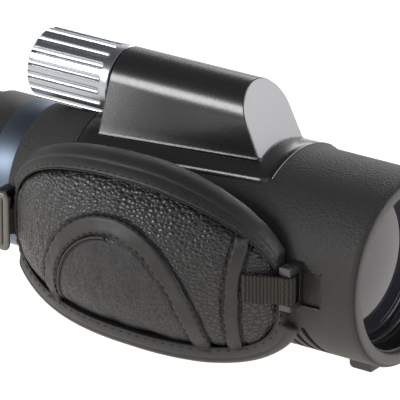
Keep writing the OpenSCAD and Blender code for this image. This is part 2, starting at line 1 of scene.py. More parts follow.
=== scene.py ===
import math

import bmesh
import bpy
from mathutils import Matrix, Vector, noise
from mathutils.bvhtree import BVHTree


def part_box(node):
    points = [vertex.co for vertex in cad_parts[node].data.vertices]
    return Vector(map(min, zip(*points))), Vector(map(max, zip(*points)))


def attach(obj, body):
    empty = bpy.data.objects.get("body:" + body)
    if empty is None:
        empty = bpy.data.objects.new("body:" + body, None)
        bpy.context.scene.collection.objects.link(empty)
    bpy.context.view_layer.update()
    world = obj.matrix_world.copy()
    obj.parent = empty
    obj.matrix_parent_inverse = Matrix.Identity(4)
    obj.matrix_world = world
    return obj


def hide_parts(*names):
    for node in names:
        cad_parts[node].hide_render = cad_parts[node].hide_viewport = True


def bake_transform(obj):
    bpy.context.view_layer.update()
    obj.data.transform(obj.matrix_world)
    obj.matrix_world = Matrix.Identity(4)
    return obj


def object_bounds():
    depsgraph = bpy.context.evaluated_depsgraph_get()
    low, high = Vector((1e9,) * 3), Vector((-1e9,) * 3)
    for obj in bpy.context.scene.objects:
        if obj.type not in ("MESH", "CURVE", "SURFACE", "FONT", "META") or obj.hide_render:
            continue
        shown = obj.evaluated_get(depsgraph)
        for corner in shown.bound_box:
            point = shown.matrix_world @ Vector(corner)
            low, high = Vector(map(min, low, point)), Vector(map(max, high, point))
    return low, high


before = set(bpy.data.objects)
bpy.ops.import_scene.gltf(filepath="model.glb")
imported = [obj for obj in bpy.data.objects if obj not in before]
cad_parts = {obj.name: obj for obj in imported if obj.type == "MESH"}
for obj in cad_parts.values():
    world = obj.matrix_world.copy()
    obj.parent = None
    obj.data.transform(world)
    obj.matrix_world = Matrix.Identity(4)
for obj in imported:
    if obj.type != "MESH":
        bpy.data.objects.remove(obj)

# Looks for the compact spotting scope: materials on the CAD nodes, smooth shells in place of
# faceted ones, and the padded hand strap as leather, tape, thread and webbing.
# Lengths below are in millimetres in the "barrel frame": p is the distance ahead of the
# objective's front rim (so it is negative on the scope), q is the height above the optical
# axis, and y is sideways, negative on the strap's side. at() turns them into scene metres.

MM = 0.001
CAD_LOW, CAD_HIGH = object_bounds()
RIM_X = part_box("front_armour")[1].x
AXIS_Z = (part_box("trim_ring")[0].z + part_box("trim_ring")[1].z) / 2


def at(p, y, q):
    """A point of the barrel frame in scene metres."""
    return Vector((RIM_X + p * MM, y * MM, AXIS_Z + q * MM))


def local(v):
    """A scene point back in the barrel frame."""
    return (v.x - RIM_X) / MM, v.y / MM, (v.z - AXIS_Z) / MM


def node_span(node):
    """A CAD node's extent along the barrel, as (rear, front)."""
    low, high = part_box(node)
    return (low.x - RIM_X) / MM, (high.x - RIM_X) / MM


# ---------------- materials

class Shader:
    """A material whose node tree is built a step at a time."""

    def __init__(self, name, color, roughness, metallic=0.0, specular=0.5, coat=0.0):
        self.material = bpy.data.materials.new(name)
        self.material.use_nodes = True
        self.tree = self.material.node_tree
        self.bsdf = self.tree.nodes["Principled BSDF"]
        self.set("Base Color", (*color, 1))
        self.set("Roughness", roughness)
        self.set("Metallic", metallic)
        self.set("Specular IOR Level", specular)
        self.set("Coat Weight", coat)
        self.set("Coat Roughness", 0.15)
        self.coords = self.node("TexCoord").outputs["Object"]

    def node(self, kind, **values):
        """A new node of a kind, with the named inputs set."""
        node = self.tree.nodes.new("ShaderNode" + kind)
        for name, value in values.items():
            node.inputs[name.replace("_", " ")].default_value = value
        return node

    def set(self, name, value):
        self.bsdf.inputs[name].default_value = value

    def link(self, source, target):
        self.tree.links.new(source, target)

    def scaled(self, scale):
        """Object coordinates multiplied by an (x, y, z) scale."""
        node = self.node("Mapping", Scale=scale)
        self.link(self.coords, node.inputs["Vector"])
        return node.outputs["Vector"]

    def noise(self, scale, detail=3.0, roughness=0.55, stretch=(1, 1, 1)):
        node = self.node("TexNoise", Scale=scale, Detail=detail, Roughness=roughness)
        self.link(self.scaled(stretch), node.inputs["Vector"])
        return node.outputs["Fac"]

    def cells(self, scale, feature="F1", smooth=0.0, stretch=(1, 1, 1), warp=0.0, uneven=1.0):
        """Distance field of a cell pattern, optionally warped by noise."""
        node = self.node("TexVoronoi", Scale=scale, Randomness=uneven)
        node.feature = "SMOOTH_F1" if smooth else feature
        if smooth:
            node.inputs["Smoothness"].default_value = smooth
        vector = self.scaled(stretch)
        if warp:
            shift = self.node("TexNoise", Scale=scale * 0.8)
            self.link(vector, shift.inputs["Vector"])
            add = self.node("VectorMath")
            add.operation = "MULTIPLY_ADD"
            self.link(shift.outputs["Color"], add.inputs[0])
            add.inputs[1].default_value = (warp / scale,) * 3
            self.link(vector, add.inputs[2])
            vector = add.outputs[0]
        self.link(vector, node.inputs["Vector"])
        return node.outputs["Distance"]

    def attribute(self, name):
        node = self.node("Attribute")
        node.attribute_name = name
        return node.outputs["Fac"]

    def remap(self, value, low, high, to_low=0.0, to_high=1.0):
        node = self.node("MapRange", From_Min=low, From_Max=high, To_Min=to_low, To_Max=to_high)
        self.link(value, node.inputs["Value"])
        return node.outputs["Result"]

    def combine(self, a, b, operation="MULTIPLY"):
        node = self.node("Math")
        node.operation = operation
        for slot, value in zip(node.inputs, (a, b)):
            if isinstance(value, (int, float)):
                slot.default_value = value
            else:
                self.link(value, slot)
        return node.outputs[0]

    def along(self, origin, axis="X"):
        """Object coordinate along one axis, measured from an origin."""
        split = self.node("SeparateXYZ")
        self.link(self.coords, split.inputs[0])
        return self.combine(split.outputs[axis], origin, "SUBTRACT")

    def blend(self, fac, low, high):
        """A colour that runs from low to high as fac goes from 0 to 1."""
        node = self.node("Mix")
        node.data_type = "RGBA"
        self.link(fac, node.inputs["Factor"])
        for slot, color in (("A", low), ("B", high)):
            if isinstance(color, (tuple, list)):
                node.inputs[slot].default_value = (*color, 1)
            else:
                self.link(color, node.inputs[slot])
        return node.outputs["Result"]

    def paint(self, color):
        self.link(color, self.bsdf.inputs["Base Color"])

    def color(self, fac, low, high):
        """Base colour that runs from low to high as fac goes from 0 to 1."""
        self.paint(self.blend(fac, low, high))

    def shade(self, fac, color, low, high):
        """Base colour that runs from low to high times the given one."""
        self.color(fac, [c * low for c in color], [c * high for c in color])

    def rough(self, fac, low, high):
        self.link(self.remap(fac, 0, 1, low, high), self.bsdf.inputs["Roughness"])

    def bump(self, height, distance, strength=1.0):
        """Adds a height field in metres of distance, on top of any earlier one."""
        node = self.node("Bump", Distance=distance, Strength=strength)
        self.link(height, node.inputs["Height"])
        earlier = self.bsdf.inputs["Normal"].links
        if earlier:
            self.link(earlier[0].from_socket, node.inputs["Normal"])
        self.link(node.outputs["Normal"], self.bsdf.inputs["Normal"])


def grained(name, color, roughness, scale, depth, metallic=0.0, vary=0.12):
    """Fine grain, slight colour variation and uneven gloss."""
    s = Shader(name, color, roughness, metallic)
    s.shade(s.noise(scale * 0.02, 4), color, 1 - vary, 1 + vary)
    s.rough(s.noise(scale * 0.15), roughness - 0.06, roughness + 0.06)
    s.bump(s.noise(scale, 4, 0.7), depth)
    return s.material


def armour_rubber():
    """Grainy rubber with a lighter lip at its front and a dark band just behind it: painted highlight and
    painted shade.
    """
    s = Shader("armour_rubber", (0.026, 0.025, 0.024), 0.56, specular=0.4)
    ahead = s.along(RIM_X)
    rubber = s.blend(s.noise(60, 3), (0.021, 0.02, 0.0195), (0.029, 0.0277, 0.0268))
    # Lighter band on the lip's front face: painted highlight.
    lip_painted_highlight = s.blend(s.remap(ahead, -0.6 * MM, -0.2 * MM), rubber, (0.08, 0.078, 0.076))
    # Dark band where the edge rounds behind the lip: painted shade.
    edge_painted_shade = s.combine(s.remap(ahead, -1.25 * MM, -1.0 * MM), s.remap(ahead, -0.5 * MM, -0.75 * MM))
    s.paint(s.blend(edge_painted_shade, lip_painted_highlight, (0.008, 0.008, 0.008)))
    s.rough(s.noise(700, 2), 0.5, 0.64)
    s.bump(s.cells(1500, smooth=0.5, warp=0.6), 0.00016, 0.9)
    s.bump(s.noise(3200, 3, 0.7), 0.00008, 0.9)
    return s.material


def satin_black(name, roughness=0.26, color=(0.014, 0.014, 0.015)):
    s = Shader(name, color, roughness, specular=0.55, coat=0.15)
    s.shade(s.noise(120, 3), color, 0.85, 1.2)
    s.rough(s.noise(900, 3), roughness - 0.04, roughness + 0.05)
    s.bump(s.noise(4200, 3, 0.6), 0.000012, 0.7)
    return s.material


def brushed(name, color, roughness, stretch):
    """Metal with fine lines drawn out along one direction."""
    s = Shader(name, color, roughness, metallic=1.0)
    lines = s.noise(2500, 3, 0.6, stretch)
    s.shade(s.noise(90, 2), color, 0.93, 1.05)
    s.rough(lines, roughness - 0.05, roughness + 0.07)
    s.bump(lines, 0.00001, 0.6)
    return s.material


def leather():
    """Black leather: rounded pebbles parted by creases, glossier on their tops."""
    pebble = 700
    layout = {"warp": 0.25, "uneven": 0.8, "stretch": (0.85, 0.85, 1.1)}
    s = Shader("pebble_leather", (0.014, 0.014, 0.015), 0.4, specular=0.6)
    pebbles = s.remap(s.cells(pebble, "DISTANCE_TO_EDGE", **layout), 0.0, 0.2)
    domes = s.remap(s.cells(pebble, **layout), 0.0, 0.8, 1.0, 0.0)
    # Colour darkens from the pebbles' tops into the creases: painted shade.
    s.color(pebbles, (0.002, 0.002, 0.002), (0.013, 0.013, 0.0135))
    s.rough(pebbles, 0.7, 0.33)
    s.bump(pebbles, 0.0001, 0.8)
    s.bump(domes, 0.0003, 0.9)
    s.bump(s.noise(pebble * 4, 3, 0.65), 0.00003, 0.7)
    return s.material


def fine_leather():
    """The arch's panel: the same hide with small upright wrinkles."""
    s = Shader("wrinkled_leather", (0.02, 0.02, 0.022), 0.45, specular=0.55)
    pebbles = s.remap(s.cells(1250, "DISTANCE_TO_EDGE", stretch=(1, 1, 0.5), warp=0.6), 0.0, 0.2)
    # Colour darkens from the pebbles' tops into the creases: painted shade.
    s.color(pebbles, (0.004, 0.004, 0.004), (0.018, 0.018, 0.019))
    s.rough(pebbles, 0.66, 0.42)
    s.bump(s.noise(900, 4, 0.6, (1.0, 1.0, 0.3)), 0.00025, 0.7)
    s.bump(pebbles, 0.0001, 0.8)
    return s.material


def smooth_leather(name, color):
    s = Shader(name, color, 0.46, specular=0.5)
    s.shade(s.noise(160, 3), color, 0.7, 1.25)
    s.rough(s.noise(500, 3), 0.4, 0.58)
    s.bump(s.noise(260, 3, 0.6), 0.00025, 0.5)
    s.bump(s.noise(2600, 4, 0.7), 0.00005, 0.8)
    return s.material


def thread():
    color = (0.01, 0.01, 0.01)
    s = Shader("stitch_thread", color, 0.55, specular=0.35)
    s.bump(s.noise(4000, 2, 0.5, (1, 1, 2.5)), 0.00006, 0.8)
    s.shade(s.noise(1500, 2), color, 0.6, 1.2)
    return s.material


def woven():
    """Webbing: brown-grey ridges and near-black valleys, from the mesh's own rib height; the light ridge
    lines and dark valleys are painted highlight and painted shade.
    """
    s = Shader("ribbed_webbing", (0.05, 0.046, 0.042), 0.7, specular=0.3)
    fibres = s.noise(2600, 3, 0.6, (1, 1, 3))
    # Rib attribute: painted highlight on the ridges and painted shade in the valleys; the fibre noise is
    # the yarn's own tone.
    painted_rib_light_and_fibres = s.combine(s.attribute("rib"), s.remap(fibres, 0.3, 0.7, 0.55, 1.15))
    s.color(painted_rib_light_and_fibres, (0.003, 0.003, 0.003), (0.06, 0.051, 0.043))
    s.rough(fibres, 0.62, 0.85)
    s.bump(fibres, 0.00012, 0.8)
    return s.material


def coated_glass():
    """Multi-coated glass: dark and deep, with a soft violet-grey reflection toward the pad's side painted
    into its colour.
    """
    s = Shader("coated_glass", (0.012, 0.011, 0.016), 0.04, specular=0.5, coat=0.6)
    s.set("IOR", 1.62)
    s.set("Coat Roughness", 0.02)
    s.set("Specular Tint", (0.93, 0.88, 1.0, 1))
    painted_reflection_side = s.remap(s.along(0.0, "Y"), -24 * MM, -12 * MM)
    s.color(painted_reflection_side, (0.2, 0.186, 0.195), (0.015, 0.015, 0.022))
    return s.material


MAT = {
    "armour": armour_rubber(),
    "satin": satin_black("satin_black"),
    "housing": grained("housing_black", (0.035, 0.034, 0.034), 0.48, 3600, 0.00002),
    "plate": grained("satin_plate", (0.47, 0.47, 0.49), 0.45, 5200, 0.000012, metallic=0.4, vary=0.03),
    # Light grey for fine cords laid on black edges: painted highlight.
    "edge": grained("edge_painted_highlight", (0.3, 0.3, 0.31), 0.3, 4200, 0.00001, metallic=0.3, vary=0.05),
    "foot": grained("foot_band", (0.13, 0.13, 0.145), 0.4, 4200, 0.00001, metallic=0.7, vary=0.05),
    "ring": brushed("ring_anodised", (0.12, 0.15, 0.195), 0.42, (40, 1, 1)),
    "knob": brushed("knob_aluminium", (0.41, 0.43, 0.455), 0.25, (1, 30, 30)),
    "bar": grained("bar_metal", (0.085, 0.085, 0.088), 0.36, 4000, 0.00001, metallic=0.7, vary=0.05),
    "plastic": satin_black("lug_plastic", 0.36, (0.011, 0.011, 0.011)),
    "inner": satin_black("inner_black", 0.25, (0.008, 0.008, 0.008)),
    "hood": satin_black("hood_black", 0.22, (0.01, 0.01, 0.01)),
    "casting": grained("casting", (0.22, 0.22, 0.23), 0.5, 1500, 0.00003, metallic=0.9),
    "brass": brushed("brass", (0.75, 0.53, 0.22), 0.3, (1, 1, 30)),
    "steel": brushed("steel", (0.6, 0.6, 0.61), 0.28, (1, 1, 20)),
    "rubber": grained("cup_rubber", (0.03, 0.03, 0.03), 0.6, 3800, 0.00003),
    "slider": grained("slider_paint", (0.15, 0.143, 0.13), 0.38, 3600, 0.00001, metallic=0.3, vary=0.06),
    "glass": coated_glass(),
    "prism": grained("prism_glass", (0.5, 0.55, 0.58), 0.1, 800, 0.000001, vary=0.05),
    "leather": leather(),
    "fine": fine_leather(),
    "tape": smooth_leather("tape_leather", (0.015, 0.0144, 0.014)),
    "lining": smooth_leather("lining_fabric", (0.045, 0.043, 0.041)),
    "stitch": thread(),
    "webbing": woven(),
    "foam": grained("foam", (0.05, 0.05, 0.05), 0.8, 2200, 0.0001),
}

NODE_FINISH = {
    "armour": ["front_armour", "rear_armour"],
    "satin": ["saddle_base", "focus_tunnel"],
    "plate": ["tunnel_cap"],
    "ring": ["trim_ring"],
    "housing": ["eyepiece_housing", "eyecup_cam_ring", "tripod_foot"],
    "plastic": ["front_strap_lug", "rear_strap_lug", "eyecup_sleeve"],
    "bar": ["front_strap_bar", "rear_strap_bar"],
    "knob": ["focus_knob"],
    "rubber": ["eyecup_rubber", "objective_seal", "shaft_seal"],
    "hood": ["objective_hood"],
    "inner": ["objective_ring", "objective_cell", "objective_spacer", "prism_cage", "eyepiece_barrel",
              "field_stop", "eyepiece_spacer", "eyepiece_ring", "focus_lens_cell"],
    "glass": ["objective_front_lens", "objective_rear_lens", "focus_lens", "field_lens", "eye_lens"],
    "prism": ["compensating_prism", "roof_prism"],
    "casting": ["main_tube", "rear_housing"],
    "brass": ["tripod_insert", "knob_bushing", "focus_nut"],
    "steel": ["tunnel_screws", "guide_rods", "prism_clamps", "prism_screws", "focus_screw",
              "knob_cap_screw", "drive_arm"],
    "slider": ["strap_slider"],
    "webbing": ["front_webbing", "rear_webbing"],
    "leather": ["pad_face"],
    "lining": ["pad_lining"],
    "tape": ["pad_binding", "arch_trim", "front_trim"],
    "foam": ["pad_core"],
}

SHARP = math.radians(32)
FLAT_ANGLE = math.radians(24)
EDGE_ROUND = 0.12
WELD_WITHIN = 0.002
ROUNDED = {"objective_ring", "trim_ring", "eyepiece_housing", "eyecup_cam_ring", "objective_hood",
           "tripod_foot", "front_strap_lug", "rear_strap_lug", "front_strap_bar", "rear_strap_bar"}


def place(name, data):
    """A new object in the scene."""
    thing = bpy.data.objects.new(name, data)
    bpy.context.scene.collection.objects.link(thing)
    return thing


def shade_smooth(mesh):
    for face in mesh.polygons:
        face.use_smooth = True


def round_edges(piece, width, angle, segments):
    """Bevels the edges that are sharper than an angle."""
    bevel = piece.modifiers.new("round", "BEVEL")
    bevel.width = width * MM
    bevel.segments = segments
    bevel.limit_method = "ANGLE"
    bevel.angle_limit = angle


def split_sharp(piece, angle):
    """Keeps flat faces flat by splitting the shading at edges sharper than an angle."""
    split = piece.modifiers.new("split", "EDGE_SPLIT")
    split.split_angle = angle
    split.use_edge_sharp = False


def smooth_by_angle(piece):
    """Shades a CAD mesh smooth, with sharp edges above the SHARP angle."""
    shade_smooth(piece.data)
    merge = piece.modifiers.new("weld", "WELD")
    merge.merge_threshold = WELD_WITHIN * MM
    if piece.name in ROUNDED:
        round_edges(piece, EDGE_ROUND, SHARP, 2)
    split_sharp(piece, SHARP)


def dress_cad_nodes():
    for finish, names in NODE_FINISH.items():
        for name in names:
            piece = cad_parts[name]
            piece.data.materials.clear()
            piece.data.materials.append(MAT[finish])
            smooth_by_angle(piece)


dress_cad_nodes()


# ---------------- mesh helpers

def mesh_object(name, verts, faces, finish):
    """A smooth-shaded mesh object with one material."""
    mesh = bpy.data.meshes.new(name)
    mesh.from_pydata([tuple(v) for v in verts], [], faces)
    mesh.validate()
    shade_smooth(mesh)
    mesh.materials.append(MAT[finish])
    return place(name, mesh)


def new_piece(name, verts, faces, finish, body, slot, *replaced):
    """A piece that rides on a CAD body and stands in for the replaced nodes."""
    piece = mesh_object(name, verts, faces, finish)
    fix_normals(piece)
    if body:
        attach(piece, body)
    if replaced:
        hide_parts(*replaced)
    return piece


def fix_normals(piece, merge=True):
    """Turns all faces outward, after joining vertices that coincide."""
    work = bmesh.new()
    work.from_mesh(piece.data)
    if merge:
        bmesh.ops.remove_doubles(work, verts=work.verts, dist=1e-7)
    bmesh.ops.recalc_face_normals(work, faces=work.faces)
    work.to_mesh(piece.data)
    work.free()


def grid_faces(rows, columns, wrap_rows=False, wrap_columns=False, first=0):
    """Quads of a rows by columns grid of vertices numbered row by row."""
    faces = []
    for i in range(rows if wrap_rows else rows - 1):
        for j in range(columns if wrap_columns else columns - 1):
            a = first + i * columns + j
            b = first + i * columns + (j + 1) % columns
            c = first + (i + 1) % rows * columns + (j + 1) % columns
            d = first + (i + 1) % rows * columns + j
            faces.append((a, b, c, d))
    return faces


def tube_faces(rows, columns, first=0):
    """Faces of a tube of rings, closed at both ends."""
    last = first + (rows - 1) * columns
    return grid_faces(rows, columns, wrap_columns=True, first=first) + [
        tuple(range(first, first + columns)), tuple(range(last + columns - 1, last - 1, -1))]


def swept(path, frames, section, closed_path=False):
    """Verts and faces of a closed section carried along a path with (across, out) frames."""
    verts = []
    for origin, (across, out) in zip(path, frames):
        verts += [origin + across * s + out * t for s, t in section]
    if closed_path:
        return verts, grid_faces(len(path), len(section), wrap_rows=True, wrap_columns=True)
    return verts, tube_faces(len(path), len(section))


def polar(radius, a):
    return radius * math.cos(a), radius * math.sin(a)


def round_section(radius, sides=8):
    return [polar(radius, 2 * math.pi * i / sides) for i in range(sides)]


def between(start, end, t):
    return start + (end - start) * t


def gauss(x, width):
    return math.exp(-(x / width) ** 2)


def smoothstep(t):
    t = max(0.0, min(1.0, t))
    return t * t * (3 - 2 * t)


# ---------------- hand pad shape

# The panel is swept round an axis parallel to the barrel, with a bowed profile.
PAD_P = -74.4
PAD_Q = 3.0
PAD_FRONT = 50.0
PAD_REAR = 52.0
PAD_HALF_Q = 25.3
PAD_RIM_THICK = 4.2
PAD_CROWN_THICK = 3.0
# Part of the pad's thickness that the cushion fills; the lining is behind it
CUSHION_SHARE = 0.9
DROOP_FRONT = 0.08
DROOP_REAR = 0.03
CROWN_Y = -9.0
CROWN_Q = 1.0
CROWN_R = 45.0
BOW_R = 76.3
PAD_REACH = 74.0
ARCH_P = -76.8
ARCH_Q = -21.0
# Half-span and rise of the arch's tape at its outer and inner edges
ARCH_OUTER = (31.0, 38.3)
ARCH_INNER = (24.8, 32.2)
BAND_P = -36.6
BAND_LEAN = 0.09
BAND_HALF = 2.4
BAND_REACH = 24


def pad_y(p, q):
    """Sideways place of the pad's face."""
    dx = max(-PAD_REACH, min(PAD_REACH, p - PAD_P))
    sag = BOW_R - math.sqrt(BOW_R ** 2 - dx ** 2)
    return CROWN_Y + sag - math.sqrt(CROWN_R ** 2 - (q - CROWN_Q) ** 2)


def pad_thickness(p):
    return PAD_RIM_THICK + PAD_CROWN_THICK * (1 - ((p - PAD_P) / PAD_REAR) ** 2)


def corner_power(front, top):
    """Superellipse exponent of one quarter of the outline."""
    if front:
        return 1.9 if top else 3.8
    return 2.2 if top else 4.0


def half_span(dp):
    """The panel's reach from its middle, ahead or behind."""
    return PAD_FRONT if dp > 0 else PAD_REAR


def droop(dp):
    """How much taller the panel's lower half is, at an offset from its middle."""
    return (DROOP_FRONT if dp > 0 else DROOP_REAR) * dp


def outline(a, grow=(0, 0, 0, 0)):
    """A point (p, q) on the panel's side outline; grow is front, rear, top, bottom."""
    c, s = math.cos(a), math.sin(a)
    n = corner_power(c > 0, s > 0)
    reach = half_span(c) + (grow[0] if c > 0 else grow[1])
    dp = reach * math.copysign(abs(c) ** (2 / n), c)
    half_q = PAD_HALF_Q + (grow[2] if s > 0 else grow[3] + droop(dp))
    return PAD_P + dp, PAD_Q + half_q * math.copysign(abs(s) ** (2 / n), s)


def ellipse_distance(p, q, reach, rise):
    """Signed distance, positive outside, from the arch's elliptical edge."""
    u, v = p - ARCH_P, q - ARCH_Q
    f = math.hypot(u / reach, v / rise)
    slope = math.hypot(u / reach ** 2, v / rise ** 2)
    return (f - 1) * f / max(slope, 1e-6)


def band_distance(p, q):
    """Distance from the front band's centre line."""
    return p - BAND_P - BAND_LEAN * q


def padded_form(rings, spokes, point):
    """Closed two-sided form; point(side, angle, r) is a vertex, with r from the middle to the rim."""
    verts, faces = [], []
    for side in (0, 1):
        for i in range(rings + 1):
            verts += [point(side, 2 * math.pi * j / spokes, i / rings) for j in range(spokes)]
        faces += grid_faces(rings + 1, spokes, wrap_columns=True, first=side * (rings + 1) * spokes)
    front_rim, back_rim = rings * spokes, (2 * rings + 1) * spokes
    for j in range(spokes):
        k = (j + 1) % spokes
        faces.append((front_rim + j, front_rim + k, back_rim + k, back_rim + j))
    return verts, faces


def outline_share(a, r, grow):
    """A point (p, q) part of the way from the panel's middle to its grown outline."""
    p, q = outline(a, grow)
    return between(PAD_P, p, r), between(PAD_Q, q, r)


def cushion_point(side, a, r):
    """The cushion before it is inflated, a little smaller than the finished panel."""
    inset, face_gap, both_gaps = 0.3, 0.9, 1.2
    p, q = outline_share(a, r, (-inset,) * 4)
    face = pad_y(p, q) + face_gap
    back = face + pad_thickness(p) - both_gaps
    middle = (face + back) / 2
    flatness = 0.35 + 0.65 * (1 - r ** 8)
    return at(p, between(middle, back if side else face, flatness), q)


def apply_modifiers(piece):
    depsgraph = bpy.context.evaluated_depsgraph_get()
    mesh = bpy.data.meshes.new_from_object(piece.evaluated_get(depsgraph))
    piece.modifiers.clear()
    piece.data = mesh


CLOTH_FRAMES = 20


def inflate(piece, voxel, pressure, cap):
    """Remeshes a closed form and swells it as cloth, then limits how far each point went."""
    remesh = piece.modifiers.new("remesh", "REMESH")
    remesh.mode = "VOXEL"
    remesh.voxel_size = voxel
    apply_modifiers(piece)
    start = [v.co.copy() for v in piece.data.vertices]
    cloth = piece.modifiers.new("cloth", "CLOTH")
    cloth.settings.use_pressure = True
    cloth.settings.uniform_pressure_force = pressure
    cloth.settings.effector_weights.gravity = 0
    cloth.settings.tension_stiffness = 12
    cloth.settings.compression_stiffness = 12
    cloth.settings.bending_stiffness = 0.4
    cloth.settings.quality = 6
    cloth.point_cache.frame_start = 1
    cloth.point_cache.frame_end = CLOTH_FRAMES
    for step in range(1, CLOTH_FRAMES + 1):
        bpy.context.scene.frame_set(step)
    apply_modifiers(piece)
    for vert, old in zip(piece.data.vertices, start):
        move = vert.co - old
        if move.length > cap:
            vert.co = old + move * (cap / move.length)
    bpy.context.scene.frame_set(1)


def subdivide(piece, levels):
    sub = piece.modifiers.new("sub", "SUBSURF")
    sub.levels = levels
    sub.render_levels = levels
    apply_modifiers(piece)
    shade_smooth(piece.data)


SEAM_WIDTH = 0.75
SEAM_DEPTH = 0.55


def sew_channels(piece):
    """Sinks the panel along the tape's edges, puffs it between them and creases it a little."""
    piece.data.update()
    normals = [v.normal.copy() for v in piece.data.vertices]
    for vert, normal in zip(piece.data.vertices, normals):
        if normal.y > -0.1:
            continue
        p, _, q = local(vert.co)
        seams = (ellipse_distance(p, q, *ARCH_OUTER), ellipse_distance(p, q, *ARCH_INNER),
                 abs(band_distance(p, q)) - BAND_HALF)
        sink = SEAM_DEPTH * max(gauss(seam, SEAM_WIDTH) for seam in seams)
        crease = noise.noise(Vector((p, 0, q)) * 0.16) * 0.35
        crease += noise.noise(Vector((p * 1.6, 3, q * 0.5)) * 0.3) * 0.16
        vert.co += normal * (crease - sink) * MM


def panel_materials(piece):
    """The arch's inner panel has its own finer hide."""
    piece.data.materials.append(MAT["fine"])
    for face in piece.data.polygons:
        p, _, q = local(face.center)
        if face.normal.y < 0 and ellipse_distance(p, q, *ARCH_INNER) < 0:
            face.material_index = 1


def build_panel():
    panel = new_piece("pad_panel", *padded_form(14, 96, cushion_point), "leather", None, "leather")
    inflate(panel, voxel=1.5 * MM, pressure=4.0, cap=1.3 * MM)
    subdivide(panel, 2)
    sew_channels(panel)
    panel_materials(panel)
    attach(panel, "hand_pad")
    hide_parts("pad_face", "pad_core")
    return panel


panel = build_panel()
panel_tree = BVHTree.FromObject(panel, bpy.context.evaluated_depsgraph_get())


def drape(p, q):
    """Point and outward normal on the panel's face at (p, q)."""
    hit, normal, _, _ = panel_tree.ray_cast(at(p, -90, q), Vector((0, 1, 0)))
    if hit is None or local(hit)[1] > pad_y(p, q) + 5:
        return at(p, pad_y(p, q), q), Vector((0, -1, 0))
    return hit, normal


def smooth_line(points, passes=2):
    """Evens out an open line of points by averaging neighbours."""
    for _ in range(passes):
        inner = [b * 0.5 + (a + c) * 0.25 for a, b, c in zip(points, points[1:], points[2:])]
        points = [points[0]] + inner + [points[-1]]
    return points


def line_frames(points, normals, closed=False):
    """(across, out) directions along a line that lies on a surface."""
    frames = []
    count = len(points)
    for i in range(count):
        before = points[(i - 1) % count] if closed else points[max(i - 1, 0)]
        after = points[(i + 1) % count] if closed else points[min(i + 1, count - 1)]
        along = (after - before).normalized()
        across = along.cross(normals[i]).normalized()
        frames.append((across, across.cross(along).normalized()))
    return frames


# ---------------- tapes on the pad

TAPE_HEIGHT = 0.75
BAND_HEIGHT = 0.7
TAPE_TUCK = 0.1
TAPE_BACK = 0.5
ARCH_HALF = 3.1


def tape_section(half_width, height, steps=8):
    """Low cross-section of a folded tape: rounded edges and a slightly hollow middle."""
    top = []
    for i in range(steps + 1):
        t = -1 + 2 * i / steps
        rise = height * (1 - abs(t) ** 6) - 0.12 * height * gauss(t, 0.5)
        top.append((t * half_width, rise))
    return [(s * MM, h * MM) for s, h in top + [(half_width, -TAPE_BACK), (-half_width, -TAPE_BACK)]]


def lay(line):
    """(points, normals) on the panel's face along (p, q) points."""
    pairs = [drape(p, q) for p, q in line]
    return smooth_line([hit for hit, _ in pairs]), [normal for _, normal in pairs]


def tape(name, line, half_width, height, node):
    """A tape laid along (p, q) points on the panel."""
    points, normals = lay(line)
    verts, faces = swept(points, line_frames(points, normals), tape_section(half_width, height))
    new_piece(name, verts, faces, "tape", "hand_pad", "binding", node)


def arch_line(offset, start=-8, stop=188):
    """Points along the arch, offset outward from the middle of its band."""
    span = (ARCH_OUTER[0] + ARCH_INNER[0]) / 2 + offset
    rise = (ARCH_OUTER[1] + ARCH_INNER[1]) / 2 + offset
    steps = 99
    line = []
    for i in range(steps + 1):
        a = math.radians(start + (stop - start) * i / steps)
        line.append((ARCH_P + span * math.cos(a), ARCH_Q + rise * math.sin(a)))
    return [spot for spot in line if inside_outline(*spot)]


def inside_outline(p, q):
    """Whether a point is on the panel, at least TAPE_TUCK inside its outline."""
    dp, dq = p - PAD_P, q - PAD_Q
    n = corner_power(dp > 0, dq > 0)
    half_q = PAD_HALF_Q - TAPE_TUCK + (0 if dq > 0 else droop(dp))
    return (abs(dp) / (half_span(dp) - TAPE_TUCK)) ** n + (abs(dq) / half_q) ** n < 1


def band_line(offset):
    """Points up the front band, offset forward from its centre line."""
    steps = 39
    heights = [between(-BAND_REACH, BAND_REACH, i / steps) for i in range(steps + 1)]
    line = [(BAND_P + BAND_LEAN * q + offset, q) for q in heights]
    return [spot for spot in line if inside_outline(*spot)]


def cord(name, line, radius, lift=0.0, finish="stitch", slot="binding", closed=False, body="hand_pad"):
    """A round cord along a line of (points, normals) on a surface."""
    points, normals = line
    raised = [pt + n * lift * MM for pt, n in zip(points, normals)]
    section = round_section(radius * MM)
    verts, faces = swept(raised, line_frames(raised, normals, closed), section, closed)
    new_piece(name, verts, faces, finish, body, slot)


def stitch_row(name, line, pitch, length, radius, lift):
    """Short sunk stitches, evenly spaced along a line of (points, normals), as one mesh."""
    points, normals = line
    verts, faces = [], []
    travelled, next_at = 0.0, pitch / 2
    for i in range(1, len(points)):
        step = (points[i] - points[i - 1]).length / MM
        while travelled + step >= next_at:
            t = (next_at - travelled) / step
            centre = points[i - 1].lerp(points[i], t) + normals[i] * lift * MM
            along = (points[i] - points[i - 1]).normalized()
            add_stitch(verts, faces, centre, along, normals[i], length, radius)
            next_at += pitch
        travelled += step
    new_piece(name, verts, faces, "stitch", "hand_pad", "binding")


def add_stitch(verts, faces, centre, along, normal, length, radius):
    """One stitch: a bead that is fat in the middle and dives at both ends."""
    across = along.cross(normal).normalized()
    sections, sides = 6, 6
    first = len(verts)
    for i in range(sections + 1):
        t = -1 + 2 * i / sections
        width = radius * math.sqrt(max(0.06, 1 - t * t)) * MM
        spot = centre + along * (t * length / 2 * MM) - normal * (0.35 * radius * t * t * MM)
        verts += [spot + across * s + normal * n for s, n in round_section(width, sides)]
    faces += tube_faces(sections + 1, sides, first)


